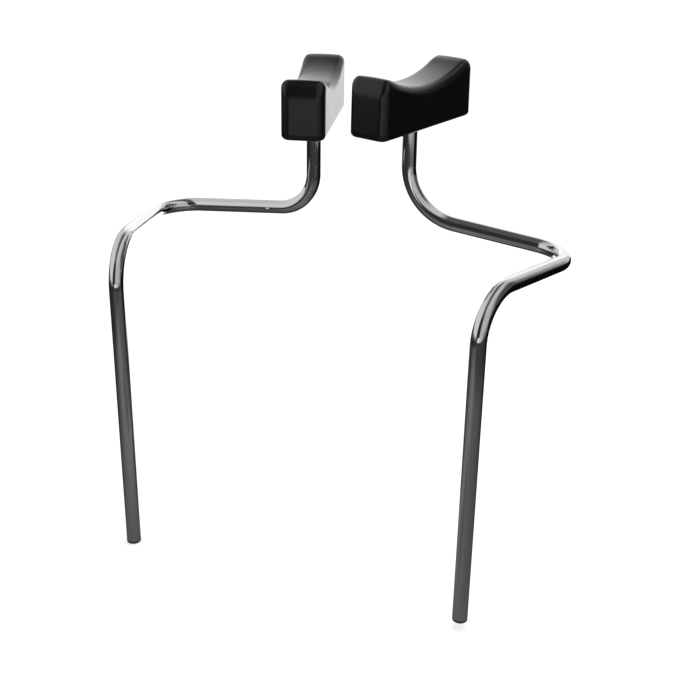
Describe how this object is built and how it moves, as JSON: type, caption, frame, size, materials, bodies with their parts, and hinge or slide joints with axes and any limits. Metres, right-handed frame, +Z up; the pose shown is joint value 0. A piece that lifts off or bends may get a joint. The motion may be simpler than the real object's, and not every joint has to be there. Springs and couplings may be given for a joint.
{
  "type": "underarm crutch pair",
  "caption": "Mirror-image pair of bent chromed-tube underarm supports for a walking frame, each with a swivelling black moulded saddle pad.",
  "frame": {"origin": "centre of the pair on the plane under the left post's foot", "axes": "+Z up along the posts, +Y from the posts towards the pads, +X across the pair from the left support to the right one"},
  "size_m": [0.6728, 0.3941, 0.7329],
  "materials": {
    "chrome_tube": "mirror-bright chrome plate on bent steel tube",
    "black_plastic": "black moulded polyethylene plug",
    "plain_steel": "turned plain steel",
    "nylon": "natural nylon",
    "zinc_steel": "zinc-plated pressed steel",
    "board": "birch plywood board",
    "black_pu": "black integral-skin polyurethane foam with a fine leather grain, satin"
  },
  "bodies": {
    "left_foot": {"left_foot_plug": "black_plastic"},
    "left_support": {"left_tube": "chrome_tube", "left_top_insert": "plain_steel", "left_thrust_washer": "nylon", "left_retaining_washer": "zinc_steel", "left_retaining_screw": "zinc_steel"},
    "left_pad": {"left_swivel_bush": "nylon", "left_pad_bracket": "zinc_steel", "left_pad_core": "board", "left_front_insert": "plain_steel", "left_rear_insert": "plain_steel", "left_front_pad_screw": "zinc_steel", "left_rear_pad_screw": "zinc_steel", "left_pad_foam": "black_pu"},
    "right_foot": {"right_foot_plug": "black_plastic"},
    "right_support": {"right_tube": "chrome_tube", "right_top_insert": "plain_steel", "right_thrust_washer": "nylon", "right_retaining_washer": "zinc_steel", "right_retaining_screw": "zinc_steel"},
    "right_pad": {"right_swivel_bush": "nylon", "right_pad_bracket": "zinc_steel", "right_pad_core": "board", "right_front_insert": "plain_steel", "right_rear_insert": "plain_steel", "right_front_pad_screw": "zinc_steel", "right_rear_pad_screw": "zinc_steel", "right_pad_foam": "black_pu"}
  },
  "joints": [
    {"name": "left_swing", "type": "hinge", "parent": "left_foot", "child": "left_support", "pos_m": [-0.27, -0.18698, 0], "axis": [0, 0, 1], "range_deg": [0, 35]},
    {"name": "left_pad_swivel", "type": "hinge", "parent": "left_support", "child": "left_pad", "pos_m": [-0.0766, 0.07668, 0.63387], "axis": [0, 0, -1], "range_deg": [-10, 38]},
    {"name": "right_height", "type": "slide", "parent": "left_foot", "child": "right_foot", "axis": [0, 0, 1], "range_m": [-0.013, 0.237]},
    {"name": "right_swing", "type": "hinge", "parent": "right_foot", "child": "right_support", "pos_m": [0.27, -0.18698, 0.013], "axis": [0, 0, -1], "range_deg": [0, 35]},
    {"name": "right_pad_swivel", "type": "hinge", "parent": "right_support", "child": "right_pad", "pos_m": [0.0766, 0.07668, 0.64687], "axis": [0, 0, 1], "range_deg": [-10, 38]}
  ]
}
